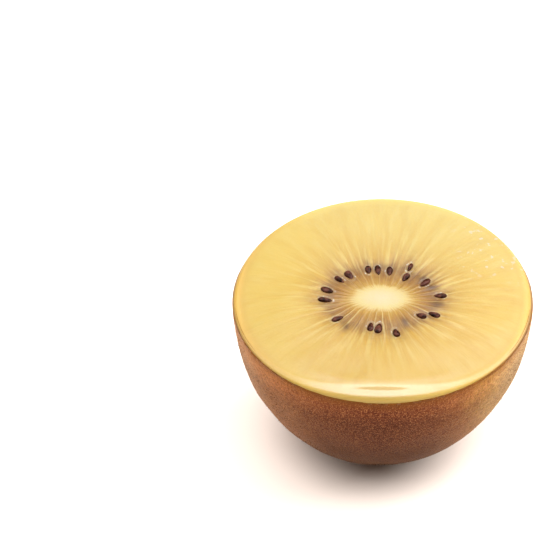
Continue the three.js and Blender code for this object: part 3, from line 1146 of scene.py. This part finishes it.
def skin_material(grain):
    """Dry brown skin with dense fine grain and tan specks, greener at the cut edge, with painted light on
    its sides and upper part and painted shade at its front and low front.
    """
    material, tree, shader = start_material("Brown skin")
    where = add(tree, "ShaderNodeTexCoord").outputs["Object"]
    spot = add(tree, "ShaderNodeSeparateXYZ", {0: where}).outputs
    level = spot["Z"]
    patches = noise(tree, where, 260.0, 3.0)
    across = maths(tree, "ADD", spot["X"], maths(tree, "MULTIPLY_ADD", patches, 6 * MM, -3 * MM))
    # Painted light on both sides, brightest on the right, and painted shade at the front
    colour = ramp(tree, maths(tree, "MULTIPLY_ADD", across, 1 / WIDTH, 0.5), SKIN_STOPS_AND_PAINTED_LIGHT)
    mottle, _ = grain_of(tree, grain, 0.6, 0.35, 0.65, 0.3)
    colour = lay(tree, colour, mottle, 0.6, SKIN_MOTTLE)
    speckle, height = grain_of(tree, grain, 0.24, 0.56, 0.78, 0.75)
    colour = lay(tree, colour, speckle, 0.75, SKIN_SPECK)
    # Painted light on the upper skin
    colour = blend(tree, spread_range(tree, level, *UPPER_SKIN), colour, UPPER_PAINTED_LIGHT, "MULTIPLY")
    # Painted shade on the low front of the skin
    in_front = spread_range(tree, maths(tree, "ABSOLUTE", spot["X"]), *FRONT_SKIN)
    low_front_shade = product(tree, spread_range(tree, level, *LOW_SKIN), in_front)
    colour = blend(tree, low_front_shade, colour, LOW_FRONT_PAINTED_SHADE, "MULTIPLY")
    colour = lay(tree, colour, spread_range(tree, level, *OLIVE_SKIN), 0.5, SKIN_OLIVE)
    colour = lay(tree, colour, spread_range(tree, level, *CUT_BROWN), 0.8, SKIN_CUT)
    finish_material(
        tree, shader, colour, maths(tree, "MULTIPLY_ADD", speckle, 0.2, 0.55), height, 0.17 * MM,
        Specular_IOR_Level=0.03, Sheen_Weight=0.2, Sheen_Roughness=0.3, Sheen_Tint=(1.0, 0.66, 0.4, 1.0),
    )
    return material


def fuzz_material(grain):
    """Pale tan hairs, some browner."""
    material, tree, shader = start_material("Tan fuzz")
    speckle, _ = grain_of(tree, grain, 0.8, 0.35, 0.65, 0.2)
    colour = blend(tree, speckle, shade(120, 66, 36), shade(196, 138, 90))
    finish_material(tree, shader, colour, 0.8, Specular_IOR_Level=0.1)
    return material


def seed_material(grain):
    """Nearly black seeds with a maroon tint, finely pitted, under a wet film."""
    material, tree, shader = start_material("Wet seed")
    speckle, height = grain_of(tree, grain, 0.4, 0.4, 0.7, 0.6)
    patch, _ = grain_of(tree, grain, 1.0, 0.46, 0.6, 0.1)
    colour = blend(tree, speckle, shade(34, 12, 6), shade(98, 54, 38))
    colour = lay(tree, colour, patch, 0.65, shade(150, 92, 76))
    finish_material(
        tree, shader, colour, maths(tree, "MULTIPLY_ADD", speckle, 0.2, 0.35), height, 0.06 * MM,
        Specular_IOR_Level=0.03, Coat_Weight=0.06, Coat_Roughness=0.12, Coat_IOR=1.5,
    )
    return material


def scar_material(grain):
    """Dry, fibrous wood."""
    material, tree, shader = start_material("Woody scar")
    speckle, height = grain_of(tree, grain, 0.35, 0.35, 0.65, 0.6)
    colour = blend(tree, speckle, shade(70, 48, 34), shade(150, 116, 82))
    finish_material(tree, shader, colour, 0.85, height, 0.12 * MM)
    return material


def floor_material():
    """Plain pale floor."""
    material, _, shader = start_material("Pale floor")
    shader.inputs["Base Color"].default_value = FLOOR_COLOUR
    shader.inputs["Roughness"].default_value = 0.9
    return material


# Camera, light and floor


def make_camera():
    """A long lens at the photograph's viewing angle, with the fruit where its frame shows it."""
    aimed_at = Vector((0, 0, EDGE_Z))
    facing = Euler((math.pi / 2 - CAMERA_ELEVATION, 0, 0)).to_matrix()
    place = aimed_at + facing @ Vector((0, 0, CAMERA_DISTANCE))
    focal = PIXELS_PER_METRE * CAMERA_DISTANCE
    left = math.atan((SEEN_X - FRAME_PIXELS / 2) / focal)
    up = math.atan((SEEN_Y - FRAME_PIXELS / 2) / focal)
    turn = Euler((0, 0, CAMERA_ROLL)).to_matrix() @ Euler((up, left, 0)).to_matrix()
    data = bpy.data.cameras.new("camera")
    data.sensor_width = SENSOR
    data.lens = focal / FRAME_PIXELS * SENSOR
    data.clip_start = NEAR_CLIP
    camera = bpy.data.objects.new("camera", data)
    camera.matrix_world = Matrix.Translation(place) @ (facing @ turn).to_4x4()
    bpy.context.scene.collection.objects.link(camera)
    bpy.context.scene.camera = camera


def make_world():
    """Light from all round: a wide soft box overhead with a dark middle, whose front fades down
    towards the camera, a soft light on the right, a weaker one on the left, and a dim warm room."""
    world = bpy.data.worlds.new("studio")
    world.use_nodes = True
    tree = world.node_tree
    direction = add(tree, "ShaderNodeTexCoord").outputs["Generated"]
    toward = add(tree, "ShaderNodeSeparateXYZ", {0: direction}).outputs

    def glow(middle, radiance):
        towards = {0: direction, 1: Vector(middle).normalized()}
        facing = add(tree, "ShaderNodeVectorMath", towards, operation="DOT_PRODUCT").outputs["Value"]
        return spread_range(tree, facing, *GLOW_EDGE, 0.0, radiance)

    sideways = maths(tree, "ABSOLUTE", maths(tree, "SUBTRACT", toward["X"], BOX_MIDDLE_X))
    across = maths(tree, "POWER", maths(tree, "DIVIDE", toward["X"], BOX_DARK_RADIUS), 2.0)
    along = maths(tree, "POWER", maths(tree, "DIVIDE", toward["Y"], BOX_DARK_RADIUS), 2.0)
    from_middle = maths(tree, "SQRT", maths(tree, "ADD", across, along))
    box = product(
        tree, spread_range(tree, sideways, *BOX_SIDES), spread_range(tree, toward["Z"], *BOX_HEIGHT),
        spread_range(tree, from_middle, *BOX_DARK_EDGE), BOX_RADIANCE,
    )
    front = product(
        tree, spread_range(tree, toward["Y"], *FRONT_DEPTH), spread_range(tree, sideways, *FRONT_SIDES),
        spread_range(tree, toward["Z"], *FRONT_HEIGHT, 0.0, FRONT_RADIANCE),
    )
    bright = maths(tree, "MAXIMUM", box, front)
    bright = maths(tree, "ADD", bright, glow(RIGHT_LIGHT, RIGHT_RADIANCE))
    bright = maths(tree, "ADD", bright, glow(LEFT_LIGHT, LEFT_RADIANCE))
    total = blend(tree, 1.0, WORLD_COLOUR, bright, "ADD")
    tree.links.new(total, tree.nodes["Background"].inputs["Color"])
    bpy.context.scene.world = world


def make_studio():
    """Plain soft studio light over a plain pale floor."""
    make_world()
    bpy.context.scene.view_settings.view_transform = "Standard"
    floor = bpy.data.meshes.new("floor")
    corners = [(x * FLOOR_REACH, y * FLOOR_REACH, 0) for x, y in ((-1, -1), (1, -1), (1, 1), (-1, 1))]
    floor.from_pydata(corners, [], [(0, 1, 2, 3)])
    floor.materials.append(floor_material())
    link_mesh(floor, "floor")


def main():
    make_camera()
    make_studio()
    grain = make_grain_group()
    seeds = place_seeds()
    flesh = make_flesh(seeds)
    skin = make_skin()
    scar = make_stem_scar()
    flesh.data.materials.append(flesh_material(grain))
    skin.data.materials.append(skin_material(grain))
    scar.data.materials.append(scar_material(grain))
    shown_seeds = make_seeds(seeds, seed_material(grain))
    fuzz = make_fuzz(fuzz_material(grain))
    slots = ((flesh, "flesh"), (skin, "skin"), (shown_seeds, "seed"), (fuzz, "skin"), (scar, "scar"))
    for piece, slot in slots:
        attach(piece, "root")
    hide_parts("kiwi_half")


main()
